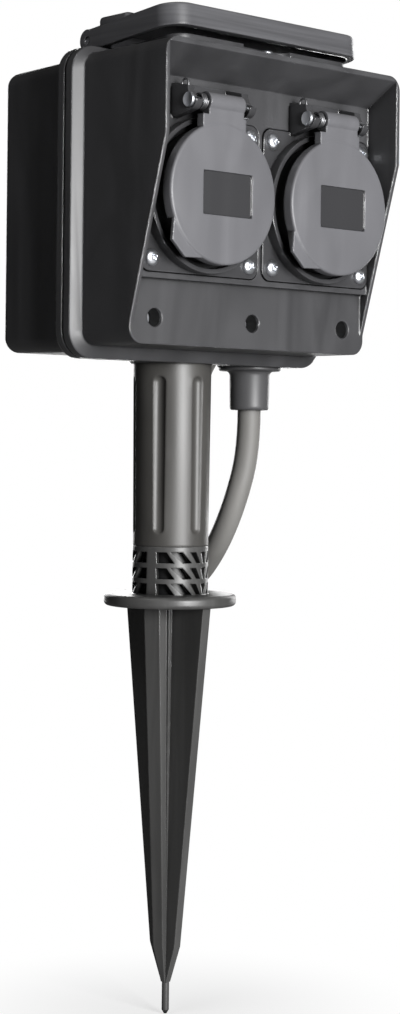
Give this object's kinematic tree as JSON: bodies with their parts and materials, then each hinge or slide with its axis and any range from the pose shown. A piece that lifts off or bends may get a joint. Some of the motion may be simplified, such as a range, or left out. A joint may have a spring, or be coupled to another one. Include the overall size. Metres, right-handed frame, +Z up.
{
  "type": "garden socket spike",
  "caption": "Garden socket on a ground spike: hooded housing with round sprung lids, weather cover, post, lattice neck, step disc and cord with plug.",
  "frame": {"origin": "centre of the step disc's underside, on the axis of the post and the spike, at ground level", "axes": "+Z up along the post, -Y towards the sockets, +X to the right seen from the front"},
  "size_m": [0.1647, 0.1416, 0.3325],
  "materials": {
    "housing": "moulded, finely grained, satin",
    "socket": "moulded, satin",
    "lid": "moulded, soft satin",
    "carrier": "moulded",
    "rubber": "moulded rubber",
    "cord": "rubber sheath, slightly chalky",
    "plug": "moulded rubber",
    "tie": "polyamide strap",
    "steel": "zinc plated",
    "nickel": "nickel plated",
    "brass": "turned",
    "ceramic": "moulded, pale",
    "wire": "insulated cores"
  },
  "bodies": {
    "housing": {"back_shell": "housing", "case_screws": "steel", "collar_screw": "steel", "cord_coil": "cord", "cord_lead": "cord", "cord_ties": "tie", "cover_hinge_pin": "steel", "front_shell": "housing", "gland": "rubber", "hinge_lugs": "housing", "left_contact_carrier": "carrier", "left_earth_clip": "nickel", "left_hinge_pin": "steel", "left_lid_spring": "steel", "left_line_contacts": "brass", "left_plate_gasket": "rubber", "left_plate_screws": "steel", "left_socket_front": "socket", "plug_body": "plug", "plug_earth_strips": "nickel", "plug_pins": "nickel", "post": "housing", "post_screw": "steel", "right_contact_carrier": "carrier", "right_earth_clip": "nickel", "right_hinge_pin": "steel", "right_lid_spring": "steel", "right_line_contacts": "brass", "right_plate_gasket": "rubber", "right_plate_screws": "steel", "right_socket_front": "socket", "shell_seal": "rubber", "spike": "housing", "supply_wires": "wire", "terminal_block": "ceramic", "terminal_screws": "steel", "top_collar": "housing"},
    "left_lid": {"left_lid": "lid", "left_lid_seal": "rubber"},
    "right_lid": {"right_lid": "lid", "right_lid_seal": "rubber"},
    "top_cover": {"top_cover": "housing"}
  },
  "joints": [
    {"name": "left_lid_hinge", "type": "hinge", "parent": "housing", "child": "left_lid", "pos_m": [-0.0259, -0.051, 0.162], "axis": [-1, 0, 0], "range_deg": [0, 110], "stiffness_Nm_per_rad": 0.01, "springref_deg": -34.38},
    {"name": "right_lid_hinge", "type": "hinge", "parent": "housing", "child": "right_lid", "pos_m": [0.0259, -0.051, 0.162], "axis": [-1, 0, 0], "range_deg": [0, 110], "stiffness_Nm_per_rad": 0.01, "springref_deg": -34.38},
    {"name": "top_cover_hinge", "type": "hinge", "parent": "housing", "child": "top_cover", "pos_m": [0, -0.00478, 0.1858], "axis": [-1, 0, 0], "range_deg": [0, 100]}
  ]
}
